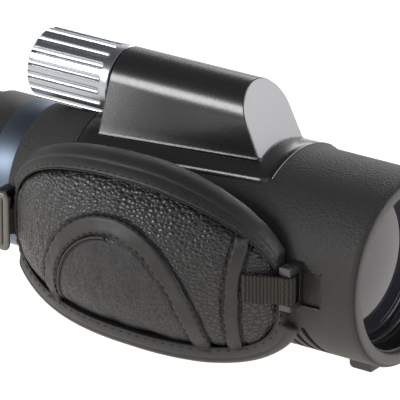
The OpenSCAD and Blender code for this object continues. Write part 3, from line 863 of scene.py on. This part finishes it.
def build_tapes():
    """The arch and the front band, with a seam cord at each edge, stitches and the arch's piping."""
    tape("arch_tape", arch_line(0), ARCH_HALF, TAPE_HEIGHT, "arch_trim")
    tape("front_tape", band_line(0), BAND_HALF, BAND_HEIGHT, "front_trim")
    for label, side in (("outer", 1), ("inner", -1)):
        stitches = lay(arch_line(side * (ARCH_HALF - 0.9)))
        stitch_row(f"arch_stitches_{label}", stitches, 2.7, 2.0, 0.34, TAPE_HEIGHT - 0.02)
    for label, side in (("outer", 1), ("inner", -1)):
        cord(f"arch_seam_{label}", lay(arch_line(side * ARCH_HALF)), 0.27, 0.12)
    for label, side in (("front", 1), ("rear", -1)):
        cord(f"band_seam_{label}", lay(band_line(side * BAND_HALF)), 0.27, 0.12)
    cord("arch_piping", lay(arch_line(-ARCH_HALF - 0.8, start=93)), 0.5, 0.15, "tape")
    cord("arch_piping_seam", lay(arch_line(-ARCH_HALF - 1.45, start=91)), 0.25, 0.1)
    stitch_row("band_stitches", lay(band_line(-1.7)), 2.6, 1.9, 0.26, BAND_HEIGHT - 0.02)


build_tapes()


# ---------------- pad binding

# How far the tape stands out past the panel at its front, rear, top and bottom
BINDING_GROW = (0.7, 4.6, 5.0, 5.4)
# Beside the straps the tape is cut back to leave room for the slider and the front bar
STRAP_GAP_Q = -1.8
STRAP_GAP_HALF = 10.4
STRAP_GAP_GROW = 0.2
STRAP_GAP_FADE = 1.8
BINDING_STEPS = 240


def even_angles(count):
    """Outline parameters that give evenly spaced points along its length."""
    fine = 2400
    points = [outline(2 * math.pi * i / fine) for i in range(fine + 1)]
    lengths = [0.0]
    for before, after in zip(points, points[1:]):
        lengths.append(lengths[-1] + math.dist(before, after))
    angles, k = [], 0
    for i in range(count):
        wanted = lengths[-1] * i / count
        while lengths[k + 1] < wanted:
            k += 1
        angles.append(2 * math.pi * (k + (wanted - lengths[k]) / (lengths[k + 1] - lengths[k])) / fine)
    return angles


BINDING_ANGLES = even_angles(BINDING_STEPS)


def binding_frame(i):
    """Seam point, outward direction and growth of the binding at step i of the outline."""
    a = BINDING_ANGLES[i]
    p, q = outline(a)
    p1, q1 = outline(BINDING_ANGLES[(i + 1) % BINDING_STEPS])
    p0, q0 = outline(BINDING_ANGLES[i - 1])
    tangent = Vector((p1 - p0, 0, q1 - q0)).normalized()
    outward = Vector((tangent.z, 0, -tangent.x))
    gp, gq = outline(a, BINDING_GROW)
    grow = math.hypot(gp - p, gq - q)
    past_gap = (abs(q - STRAP_GAP_Q) - STRAP_GAP_HALF) / STRAP_GAP_FADE
    beside_strap = abs(outward.x) * (1 - smoothstep(past_gap))
    return p, q, outward, between(grow, STRAP_GAP_GROW, beside_strap)


def binding_lap(outward):
    """How far the tape laps over the panel: most along its lower edge."""
    return 0.45 + 0.9 * max(0.0, -outward.z)


def binding_section(grow, thick, lap):
    """(outward, depth) points of the tape from its seam on the face round to its back."""
    seam = [(-lap - 0.3, 0.9), (-lap, 0.05), (0.5 - lap, -0.25)]
    crown = [(0.2 * grow, -0.3), (0.42 * grow, 0.0), (0.5 * grow, 0.3)]
    roll = [(0.58 * grow, 0.15), (0.72 * grow, 0.2), (0.88 * grow, 0.9), (grow, 2.0)]
    back = [(1.02 * grow, 0.5 * thick + 1.2), (0.95 * grow, thick - 0.6), (0.75 * grow, thick + 0.2),
            (0.3 * grow, thick + 0.3), (-0.5, thick - 0.3), (-1.2, 0.5 * thick)]
    return seam + crown + roll + back


def binding_fall(outward):
    """How far the tape follows the face's curve: fully on top, less where it stands out below."""
    return 0.35 + 0.65 * max(0.0, outward.z) + 1.3 * max(0.0, outward.x)


def binding_y(p, q, outward, grow, share):
    """Sideways place of the tape's face at a share of the way from the panel's edge to its rim."""
    face = pad_y(p, q)
    rim = pad_y(p + outward.x * grow, q + outward.z * grow)
    return face + (rim - face) * binding_fall(outward) * share


def build_binding():
    """The leather tape round the pad's edge, slightly uneven along its length."""
    verts = []
    for i in range(BINDING_STEPS):
        p, q, outward, grow = binding_frame(i)
        thick = pad_thickness(p) * CUSHION_SHARE + 0.3
        section = binding_section(grow, thick, binding_lap(outward))
        for o, d in section:
            y = binding_y(p, q, outward, grow, min(1.0, o / grow)) + d
            ripple = 0.1 * noise.noise(Vector((p, q, o)) * 0.35)
            verts.append(at(p + outward.x * (o + ripple), y + ripple, q + outward.z * (o + ripple)))
    faces = grid_faces(BINDING_STEPS, len(section), wrap_rows=True, wrap_columns=True)
    finish_soft(new_piece("pad_binding_tape", verts, faces, "tape", None, "binding"), 2, "pad_binding")


def finish_soft(piece, levels, *replaced):
    """Subdivides a soft piece and puts it on the hand pad's body."""
    subdivide(piece, levels)
    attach(piece, "hand_pad")
    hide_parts(*replaced)


def seam_line(inset, depth):
    """Closed line a little outward of the tape's inner edge, with outward-facing normals."""
    points, normals = [], []
    for i in range(BINDING_STEPS):
        p, q, outward, grow = binding_frame(i)
        offset = inset - binding_lap(outward)
        y = binding_y(p, q, outward, grow, offset / grow) + depth
        points.append(at(p + outward.x * offset, y, q + outward.z * offset))
        normals.append((Vector((0, -1, 0)) + outward * 0.35).normalized())
    return points, normals


def build_seam():
    cord("seam_cord", seam_line(-0.1, 0.1), 0.3, closed=True)
    points, normals = seam_line(0.95, -0.3)
    stitch_row("seam_stitches", (points + points[:1], normals + normals[:1]), 3.0, 1.8, 0.24, -0.08)


build_binding()
build_seam()


# ---------------- pad lining

def lining_point(side, a, r):
    """Soft backing behind the panel, with a rolled rim that shows past the binding's top front."""
    half_thick = 0.75
    roll = 1.6 * max(0.0, math.sin(a + 0.35)) * max(0.0, math.cos(a * 0.5)) ** 2
    p, q = outline_share(a, r, (0.6 + roll * 0.2, 1.6, 3.4 + roll * 1.9, 3.6))
    bulge = half_thick * math.sqrt(max(0.0, 1 - r ** 8))
    middle = pad_y(p, q) + pad_thickness(p) * CUSHION_SHARE + half_thick
    return at(p, middle + (bulge if side else -bulge), q)


lining = new_piece("pad_backing", *padded_form(10, 120, lining_point), "lining", None, "lining")
finish_soft(lining, 1, "pad_lining")


# ---------------- webbing

WEBBING_HALF = 4.65
RIB_PITCH = 1.12
RIB_HEIGHT = 0.13
FRONT_BAR_R = 1.4
REAR_BAR_R = 0.8


def webbing_strip(name, path, thickness, node):
    """Ribbed webbing along a plan path of (p, y) points."""
    spots = resample(path, 0.1)
    outward = plan_normals(spots)
    low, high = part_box(node)
    mid_q = ((low.z + high.z) / 2 - AXIS_Z) / MM
    across_steps = 44
    verts, rib_painted_light = [], []
    length = 0.0
    for i, (p, y) in enumerate(spots):
        if i:
            length += math.dist(spots[i], spots[i - 1])
        for side in (1, -1):
            for j in range(across_steps + 1):
                t = side * (-1 + 2 * j / across_steps)
                wave = 0.1 * math.sin(t * 17) + 0.12 * noise.noise(Vector((length * 0.5, t * 5, 0)))
                turn = 2 * math.pi * (length + wave) / RIB_PITCH
                rib = 0.5 + 0.5 * math.cos(turn)
                # Thin light lines along the ridges, for the colour only: painted highlight, with painted
                # shade between them.
                line = max(rib ** 4, 0.55 * (0.5 + 0.5 * math.cos(turn + 2.4)) ** 5)
                selvedge = 1 - smoothstep((abs(t) - 0.9) / 0.08)
                height = thickness / 2 * math.sqrt(max(0.0, 1 - abs(t) ** 14)) + RIB_HEIGHT * rib * selvedge
                lift_p, lift_y = outward[i][0] * height * side, outward[i][1] * height * side
                verts.append(at(p + lift_p, y + lift_y, mid_q + t * WEBBING_HALF))
                rib_painted_light.append(line * (0.35 + 0.65 * selvedge))
    piece = mesh_object(name, verts, tube_faces(len(spots), 2 * (across_steps + 1)), "webbing")
    layer = piece.data.attributes.new("rib", "FLOAT", "POINT")
    layer.data.foreach_set("value", rib_painted_light)
    fix_normals(piece, merge=False)
    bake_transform(piece)
    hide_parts(node)


def plan_between(start, end, t):
    return between(start[0], end[0], t), between(start[1], end[1], t)


def resample(path, step):
    """Evenly spaced points along a plan path."""
    points = [path[0]]
    for start, end in zip(path, path[1:]):
        count = max(1, round(math.dist(start, end) / step))
        points += [plan_between(start, end, k / count) for k in range(1, count + 1)]
    return points


def plan_normals(points):
    """Unit normals to a plan path, evened over a few points."""
    normals = []
    for i in range(len(points)):
        p0, y0 = points[max(i - 2, 0)]
        p1, y1 = points[min(i + 2, len(points) - 1)]
        length = math.hypot(p1 - p0, y1 - y0) or 1.0
        normals.append(((y1 - y0) / length, -(p1 - p0) / length))
    return normals


def fold(centre, radius, start, stop):
    """Arc of a fold round a bar, as plan points."""
    steps = 24
    arc = [polar(radius, math.radians(between(start, stop, i / steps))) for i in range(steps + 1)]
    return [(centre[0] + p, centre[1] + y) for p, y in arc]


def bar_centre(node):
    """Plan centre (p, y) of a strap bar, read from its node's box."""
    low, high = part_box(node)
    return local((low + high) / 2)[:2]


def build_webbing():
    """Both straps: each comes out of the pad, folds round its lug's bar and ends in a short tail."""
    p, y = bar_centre("front_strap_bar")
    slit = BAND_P + BAND_HALF + 0.4
    lead = fold((p, y), FRONT_BAR_R + 0.65, -112, 70)
    path = [(slit, pad_y(slit, 0) + 1.2), (slit + 0.6, pad_y(slit, 0) - 0.8),
            (slit + 3, pad_y(slit + 3, 0) - 1.4)] + lead + [(lead[-1][0] - 1.2, lead[-1][1] - 0.2)]
    webbing_strip("front_strap", round_path(path), 1.05, "front_webbing")
    p, y = bar_centre("rear_strap_bar")
    end = PAD_P - PAD_REAR - STRAP_GAP_GROW
    lead = fold((p, y), REAR_BAR_R + 0.62, 276, 96)
    path = [(end + 4.5, pad_y(end + 4.5, 0) + 2.4), (end + 0.5, pad_y(end, 0) + 1.4),
            (end - 1.2, y - 1.9)] + lead + [(end - 1.0, y + 0.9)]
    webbing_strip("rear_strap", round_path(path), 0.95, "rear_webbing")


def round_path(path):
    """Softens a path's corners by cutting them three times, keeping its ends."""
    for _ in range(3):
        cut = [path[0]]
        for start, end in zip(path, path[1:]):
            cut += [plan_between(start, end, 0.25), plan_between(start, end, 0.75)]
        path = cut + [path[-1]]
    return path


build_webbing()


# ---------------- focus tunnel and saddle

TUNNEL_SETBACK = 2.6
TUNNEL_REAR = node_span("focus_tunnel")[0] + TUNNEL_SETBACK
KNOB_Q = ((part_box("focus_knob")[0].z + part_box("focus_knob")[1].z) / 2 - AXIS_Z) / MM
TUNNEL_HALF = 11.9
ARCH_RADIUS = 11.8
EDGE_REAR = (16.8, 27.3)
EDGE_FRONT = (TUNNEL_HALF, 30.3)
FRONT_P = -44.0
FACE_FOOT_P = -48.7
FACE_FOOT_Q = 30.7
FACE_LEAN = 0.465
SADDLE_R = 31.8
ARMOUR_R = 31.0
SADDLE_REAR, SADDLE_FRONT = node_span("saddle_base")
SADDLE_HALF_REAR = 22.9
SADDLE_HALF_FRONT = 18.1
SADDLE_CORNER = 4.0
CHAMFER = 0.55
KNOB_EXTRA = 1.2
TUNNEL_ROUND = 0.35


def face_p(q):
    """Where the slanted front face stands at a height."""
    return FACE_FOOT_P - FACE_LEAN * (q - FACE_FOOT_Q)


def tunnel_foot(p):
    """Half-width and height (y, q) of the tunnel's lower edge."""
    return plan_between(EDGE_REAR, EDGE_FRONT, (p - TUNNEL_REAR) / (FRONT_P - TUNNEL_REAR))


def tunnel_section(p, shrink=0.0):
    """Half section (y, q) points from the lower edge over the arch's top."""
    half, foot = tunnel_foot(p)
    half -= shrink
    radius = ARCH_RADIUS - shrink
    side, low = half - 0.15, foot + 0.65
    points = [(half - 1.9, foot - 1.2), (half - 0.2, foot - 0.35), (half + 0.2, foot), (side, low)]
    span = math.hypot(side, KNOB_Q - low)
    start = math.atan2(KNOB_Q - low, -side) - math.asin(radius / span) - math.pi / 2
    arc_steps = 22
    arc = [polar(radius, between(start, math.pi / 2, k / arc_steps)) for k in range(arc_steps + 1)]
    arc = [(y, KNOB_Q + q) for y, q in arc]
    return points + [plan_between((side, low), arc[0], k / 6) for k in range(1, 6)] + arc


def mirrored(points):
    """A half section made whole: right side, then left side reversed without the top twice."""
    return points + [(-y, q) for y, q in reversed(points[:-1])]


def build_tunnel():
    """The focus tunnel's shell, from its rounded rear edge to the slanted face."""
    stations = 30
    begin = TUNNEL_REAR + 0.3
    columns = len(mirrored(tunnel_section(TUNNEL_REAR)))
    verts = []
    for i in range(stations + 2):
        s = max(0, i - 1) / stations
        for j in range(columns):
            p = begin
            for _ in range(4):
                y, q = mirrored(tunnel_section(p, 0.0 if i else TUNNEL_ROUND))[j]
                p = between(begin, face_p(q) - 0.06, s) if i else TUNNEL_REAR
            verts.append(at(p, y, q))
    piece = new_piece("focus_tunnel_shell", verts, tube_faces(stations + 2, columns), "satin", "barrel",
                      "tunnel_paint", "focus_tunnel")
    finish_edges(piece, 0.22)


def build_knob():
    """The ribbed knob drawn out lengthwise so that it meets the tunnel's rear face."""
    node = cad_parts["focus_knob"]
    low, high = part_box("focus_knob")
    rear, front = low.x - KNOB_EXTRA * MM, high.x + TUNNEL_SETBACK * MM
    scale = (front - rear) / (high.x - low.x)
    mesh = node.data.copy()
    for vert in mesh.vertices:
        vert.co.x = rear + (vert.co.x - low.x) * scale
    piece = place("knob_shell", mesh)
    smooth_by_angle(piece)
    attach(piece, "focus_knob")
    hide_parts("focus_knob")


def finish_edges(piece, width, angle=28, segments=3):
    """Rounds a hard-surface mesh's sharp edges and shades it cleanly."""
    round_edges(piece, width, math.radians(angle), segments)
    weighted = piece.modifiers.new("weighted", "WEIGHTED_NORMAL")
    weighted.keep_sharp = True


def arc_over(p, half, radius, steps):
    """(p, y, q) spots over the barrel's top from side to side."""
    spots = []
    for k in range(steps + 1):
        y = -half + 2 * half * k / steps
        spots.append((p, y, math.sqrt(radius ** 2 - y ** 2)))
    return spots


def build_face_plate():
    """Silver plate on the slanted face, with a small concave foot that sweeps forward."""
    gap, proud = 0.3, 0.35
    foot_r = SADDLE_R + 0.5
    lowest = FACE_FOOT_Q - 0.2
    section = mirrored([spot for spot in tunnel_section(FACE_FOOT_P, gap) if spot[1] > lowest])
    half = section[0][0]
    whole = section + [(y, q) for _, y, q in arc_over(0, half, foot_r - 1.6, 16)[1:-1]]
    centre_q = KNOB_Q - 1
    rings = [(1.0, -0.4), (1.0, proud - 0.06), (0.994, proud), (0.6, proud), (0.2, proud)]
    verts = []
    for scale, lift in rings:
        for y, whole_q in whole:
            q = between(centre_q, whole_q, scale)
            verts.append(at(face_p(q) + lift * 1.1, y * scale, q + lift * FACE_LEAN))
    faces = tube_faces(len(rings), len(whole))
    piece = new_piece("face_plate_silver", verts, faces, "plate", "barrel", "face_plate", "tunnel_cap")
    split_sharp(piece, FLAT_ANGLE)
    build_foot_fillet(half, foot_r)


def build_foot_fillet(half, foot_r):
    """Concave band at the plate's foot, from the plate down to the saddle's crown."""
    radius, steps, spans = 1.9, 10, 24
    under = 2.2
    verts = []
    for _, y, base_q in arc_over(0, half, foot_r, spans):
        for k in range(steps + 1):
            a = math.pi / 2 * k / steps
            forward, drop = radius * (1 - math.cos(a)), radius * (1 - math.sin(a))
            verts.append(at(face_p(base_q + 1.35) + 0.33 + forward, y, base_q + drop - 0.55))
        behind = face_p(base_q + 1.2)
        verts += [at(behind + radius, y, base_q - under), at(behind - 0.6, y, base_q - under)]
    new_piece("face_plate_foot", verts, tube_faces(spans + 1, steps + 3), "foot", "barrel", "face_plate")


def saddle_half(p):
    """Half-width of the saddle's plan: it narrows forward, then its front corners round off."""
    corner_p = SADDLE_FRONT - SADDLE_CORNER
    if p < corner_p:
        return between(SADDLE_HALF_REAR, SADDLE_HALF_FRONT, (p - SADDLE_REAR) / (corner_p - SADDLE_REAR))
    inner = SADDLE_HALF_FRONT - SADDLE_CORNER
    return inner + math.sqrt(max(0.0, SADDLE_CORNER ** 2 - (p - corner_p) ** 2))


def build_saddle():
    """Saddle plate: a skin on the barrel with a chamfer round its edge."""
    corner_p = SADDLE_FRONT - SADDLE_CORNER
    straight = corner_p - 0.2
    stops = [SADDLE_REAR + (straight - SADDLE_REAR) * i / 34 for i in range(35)]
    stops += [corner_p + SADDLE_CORNER * math.sin(math.radians(a)) for a in range(5, 90, 7)]
    stops = [stops[0]] + stops + [SADDLE_FRONT] * 2
    last, across, sunk = len(stops) - 1, 40, 1.8
    verts = []
    for k, p in enumerate(stops):
        half = saddle_half(min(p, SADDLE_FRONT - 0.001))
        for j in range(-2, across + 3):
            y = half * (2 * max(0, min(across, j)) / across - 1)
            radius = SADDLE_R - 0.7 * smoothstep((p - SADDLE_FRONT + 1.6) / 1.6)
            if j in (-2, across + 2):
                radius -= sunk
            elif j in (-1, across + 1):
                radius -= CHAMFER
            elif j in (0, across):
                y *= 1 - CHAMFER / half
            if k in (0, last):
                radius = min(radius, SADDLE_R - sunk)
            elif k in (1, last - 1):
                radius -= 0.4
            verts.append(at(p, y, math.sqrt(radius ** 2 - y ** 2)))
    piece = new_piece("saddle_shell", verts, tube_faces(last + 1, across + 5), "satin", "barrel",
                      "tunnel_paint", "saddle_base")
    finish_edges(piece, 0.15, 30, 2)


def barrel_cord(name, spots, radius, finish, slot, normal=None):
    """A fine cord through (p, y, q) spots on the barrel, which gives its normals if none is given."""
    normals = [normal or Vector((0, y, q)).normalized() for _, y, q in spots]
    cord(name, ([at(*spot) for spot in spots], normals), radius, 0.0, finish, slot, body="barrel")


def build_tunnel_edge_highlight():
    """Fine light cord along the tunnel's foot on both sides: a painted highlight on the edge."""
    steps = 30
    for side in (-1, 1):
        spots = []
        for k in range(steps + 1):
            p = TUNNEL_REAR + 0.3 + (FACE_FOOT_P - 0.4 - TUNNEL_REAR) * k / steps
            half, foot = tunnel_foot(p)
            spots.append((p, side * (half + 0.12), foot - 0.02))
        normal = Vector((0, side, 0.5)).normalized()
        barrel_cord(f"tunnel_edge_{side}", spots, 0.2, "edge", "tunnel_paint", normal)


def build_saddle_rear_edge():
    """Thin line where the saddle's rear edge meets the armour."""
    spots = arc_over(SADDLE_REAR + 0.05, 22.6, SADDLE_R - 0.25, 48)
    barrel_cord("saddle_rear_edge", spots, 0.14, "bar", "tunnel_paint")


def build_pocket_painted_shade():
    """Dark cord round the armour's pocket ahead of the front lug: painted shade along the pocket's edge."""
    rear, front, low, high = -19.6, -12.7, -5.3, 6.4
    corners = [(rear, high), (front, high), (front, low), (rear, low)]
    spots = []
    for start, end in zip(corners, corners[1:]):
        for k in range(9):
            p, q = plan_between(start, end, k / 8)
            spots.append((p, -math.sqrt(ARMOUR_R ** 2 - q ** 2), q))
    barrel_cord("pocket_painted_shade", spots, 0.16, "inner", "armour_rubber")


def build_lip_edge_highlight():
    """Fine light cord on the armour's lip just ahead of the saddle: a painted highlight on the lip's edge.
    """
    spots = arc_over(SADDLE_FRONT + 0.55, 16.8, SADDLE_R + 0.1, 40)
    barrel_cord("saddle_lip_edge", spots, 0.17, "edge", "armour_rubber")


build_tunnel()
build_knob()
build_face_plate()
build_saddle()
build_lip_edge_highlight()
build_tunnel_edge_highlight()
build_saddle_rear_edge()
build_pocket_painted_shade()


# ---------------- lenses

def build_lens(name, node, edge_r, face_r, front):
    """Smooth domed face for a lens; front is +1 if it bulges toward the objective's end."""
    rings, spokes = 24, 96
    rim_width = 1.6
    vertex_p = node_span(node)[1 if front > 0 else 0]
    verts = []
    for i in range(rings):
        r = edge_r * (i + 0.5) / (rings - 0.5)
        sag = face_r - math.sqrt(face_r ** 2 - r ** 2)
        verts += ring_points(vertex_p - front * sag, r, spokes)
    verts += ring_points(vertex_p - front * (sag + rim_width), edge_r, spokes)
    piece = new_piece(name, verts, tube_faces(rings + 1, spokes), "glass", "barrel", "coated_glass", node)
    split_sharp(piece, FLAT_ANGLE)


def ring_points(p, r, spokes):
    """Points of a circle round the optical axis."""
    return [at(p, *polar(r, 2 * math.pi * j / spokes)) for j in range(spokes)]


build_lens("front_lens_dome", "objective_front_lens", 24.9, 90, 1)
build_lens("eye_lens_dome", "eye_lens", 15.5, 30, -1)


# ---------------- slider

def build_slider():
    """Strap slider: a bent wire-like frame with rounded corners round the rear webbing."""
    low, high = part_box("strap_slider")
    centre = (low + high) / 2
    half_x = (high.x - low.x) / 2 - 1.0 * MM
    half_z = (high.z - low.z) / 2 - 1.2 * MM
    face_y = low.y + 1.1 * MM
    corner = 1.6 * MM
    path = []
    for x_side, z_side, start in ((1, 1, 0), (-1, 1, 90), (-1, -1, 180), (1, -1, 270)):
        for k in range(7):
            turn_x, turn_z = polar(corner, math.radians(start + 15 * k))
            x = x_side * (half_x - corner / 2) + turn_x / 2
            z = z_side * (half_z - corner) + turn_z
            path.append(Vector((centre.x + x, face_y, centre.z + z)))
    frames = line_frames(path, [Vector((0, -1, 0))] * len(path), True)
    section = [(s * 1.25, t * 0.95) for s, t in round_section(0.95 * MM, 12)]
    verts, faces = swept(path, frames, section, True)
    new_piece("slider_frame", verts, faces, "slider", "strap_slider", "slider_paint", "strap_slider")


build_slider()


# ---------------- stage, light and camera

CAMERA_AZIMUTH = 34.73
CAMERA_ELEVATION = 22.46
CAMERA_DISTANCE = 1.7
CAMERA_LENS = 485.3
TARGET = at(-78.61, 0, 5.231)


def direction(azimuth, elevation):
    """Unit vector toward a viewer; azimuth 0 looks along +Y."""
    a, e = math.radians(azimuth), math.radians(elevation)
    return Vector((math.sin(a) * math.cos(e), -math.cos(a) * math.cos(e), math.sin(e)))


def aim(thing, target):
    thing.rotation_euler = (target - thing.location).to_track_quat("-Z", "Y").to_euler()


def add_camera():
    data = bpy.data.cameras.new("camera")
    data.lens = CAMERA_LENS
    data.sensor_width = 36
    data.clip_end = 50
    camera = place("camera", data)
    camera.location = TARGET + direction(CAMERA_AZIMUTH, CAMERA_ELEVATION) * CAMERA_DISTANCE
    aim(camera, TARGET)
    bpy.context.scene.camera = camera


def add_softbox(name, azimuth, elevation, distance, size, power, only=None):
    """Rectangular light aimed at the scope; only flags it off everything but one piece."""
    data = bpy.data.lights.new(name, "AREA")
    data.shape = "RECTANGLE"
    data.size, data.size_y = size
    data.energy = power
    light = place(name, data)
    light.location = TARGET + direction(azimuth, elevation) * distance
    aim(light, TARGET)
    if only:
        flagged = bpy.data.collections.new(name + "_receivers")
        flagged.objects.link(only)
        light.light_linking.receiver_collection = flagged


def add_floor():
    mesh = bpy.data.meshes.new("floor")
    reach = 12.0
    mesh.from_pydata([(-reach, -reach, 0), (reach, -reach, 0), (reach, reach, 0), (-reach, reach, 0)],
                     [], [(0, 1, 2, 3)])
    s = Shader("floor_white", (0.3, 0.3, 0.3), 0.9, specular=0.1)
    s.set("Emission Color", (1.0, 0.95, 0.9, 1))
    s.set("Emission Strength", 1.1)
    s.color(s.noise(2, 2), (0.29, 0.29, 0.29), (0.31, 0.31, 0.31))
    mesh.materials.append(s.material)
    floor = place("floor", mesh)
    floor.location.z = CAD_LOW.z - 0.2 * MM


def set_world():
    """Bright horizon that darkens overhead, as in a white tent lit from its sides."""
    world = bpy.data.worlds.new("studio")
    bpy.context.scene.world = world
    world.use_nodes = True
    tree = world.node_tree
    coords = tree.nodes.new("ShaderNodeTexCoord")
    split = tree.nodes.new("ShaderNodeSeparateXYZ")
    ramp = tree.nodes.new("ShaderNodeValToRGB")
    tree.links.new(coords.outputs["Generated"], split.inputs[0])
    tree.links.new(split.outputs["Z"], ramp.inputs["Fac"])
    stops = ramp.color_ramp.elements
    stops.new(0.3)
    stops.new(0.55)
    for stop, level in zip(stops, (0.78, 0.7, 0.25, 0.1)):
        stop.color = (level, level, level, 1)
    tree.links.new(ramp.outputs["Color"], tree.nodes["Background"].inputs["Color"])
    tree.nodes["Background"].inputs["Strength"].default_value = 0.9


add_camera()
add_floor()
set_world()
add_softbox("key", -36, 25, 1.6, (0.5, 0.5), 13)
add_softbox("side", -88, 12, 1.6, (1.0, 0.4), 4, only=panel)
add_softbox("front", 105, 20, 1.8, (1.0, 1.0), 14)
add_softbox("back", 190, 30, 1.8, (1.4, 0.8), 14)
bpy.context.scene.view_settings.view_transform = "Standard"
